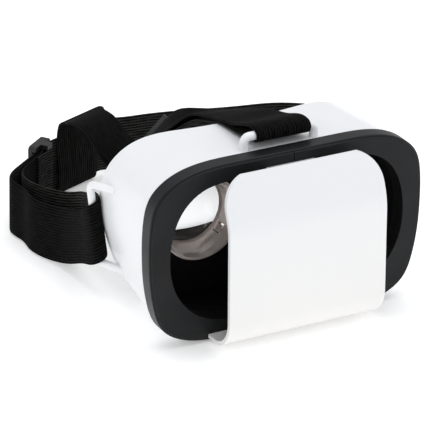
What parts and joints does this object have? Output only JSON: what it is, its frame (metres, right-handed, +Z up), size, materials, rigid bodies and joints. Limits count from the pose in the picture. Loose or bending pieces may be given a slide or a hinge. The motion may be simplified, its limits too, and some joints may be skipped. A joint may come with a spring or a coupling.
{
  "type": "vr headset",
  "caption": "Phone-carrying VR headset: tapered white shell, black bezel, spring clamp plate across the window, lenses and an adjustable webbing head harness.",
  "frame": {"origin": "on the bezel's flat underside, on the middle plane", "axes": "X across the headset towards the wearer's left, Y from the phone towards the wearer, Z up"},
  "size_m": [0.1939, 0.2172, 0.101],
  "materials": {
    "shell_white": "satin",
    "clamp_white": "satin",
    "bezel_black": "matte",
    "rim_rubber": "matte",
    "optics_black": "matte",
    "barrel_smoke": "gloss",
    "lens_clear": "gloss",
    "webbing": "matte",
    "foam": "matte",
    "adjuster_black": "satin",
    "steel": "satin"
  },
  "bodies": {
    "headset": {"main_shell": "shell_white", "bezel_frame": "bezel_black", "soft_rim": "rim_rubber", "light_box": "optics_black", "lens_board": "optics_black", "septum": "optics_black", "lens_barrel_left": "barrel_smoke", "lens_barrel_right": "barrel_smoke", "lens_left": "lens_clear", "lens_right": "lens_clear", "lens_ring_left": "barrel_smoke", "lens_ring_right": "barrel_smoke", "lower_guide_left": "optics_black", "lower_guide_right": "optics_black", "lower_spring_left": "steel", "lower_spring_right": "steel", "face_cushion": "foam", "upper_guides": "optics_black", "upper_anchor": "optics_black", "upper_spring": "steel", "anchor_pins": "steel", "corner_screws": "steel", "board_screws": "steel", "head_band": "webbing", "top_strap": "webbing"},
    "clamp": {"clamp_plate": "clamp_white", "clamp_pad": "foam", "upper_arm": "clamp_white", "lower_arm_left": "clamp_white", "lower_arm_right": "clamp_white", "arm_pins": "steel", "arm_screws": "steel"},
    "adjuster_left": {"tri_glide_left": "adjuster_black", "sewn_end_left": "webbing"},
    "adjuster_right": {"tri_glide_right": "adjuster_black", "sewn_end_right": "webbing"},
    "adjuster_top": {"tri_glide_top": "adjuster_black", "sewn_end_top": "webbing"}
  },
  "joints": [
    {"name": "clamp_slide", "type": "slide", "parent": "headset", "child": "clamp", "axis": [0, -1, 0], "range_m": [0, 0.01], "stiffness_N_per_m": 600, "springref_m": -0.012, "deforming": ["lower_spring_left", "lower_spring_right", "upper_spring"]},
    {"name": "left_adjuster_slide", "type": "slide", "parent": "headset", "child": "adjuster_left", "axis": [0.7994, 0.6008, 0], "range_m": [-0.012, 0.002]},
    {"name": "right_adjuster_slide", "type": "slide", "parent": "headset", "child": "adjuster_right", "axis": [0.137, 0.9906, 0], "range_m": [-0.01, 0.008]},
    {"name": "top_adjuster_slide", "type": "slide", "parent": "headset", "child": "adjuster_top", "axis": [-0.06, 0.6498, -0.7577], "range_m": [-0.0015, 0.004]}
  ]
}
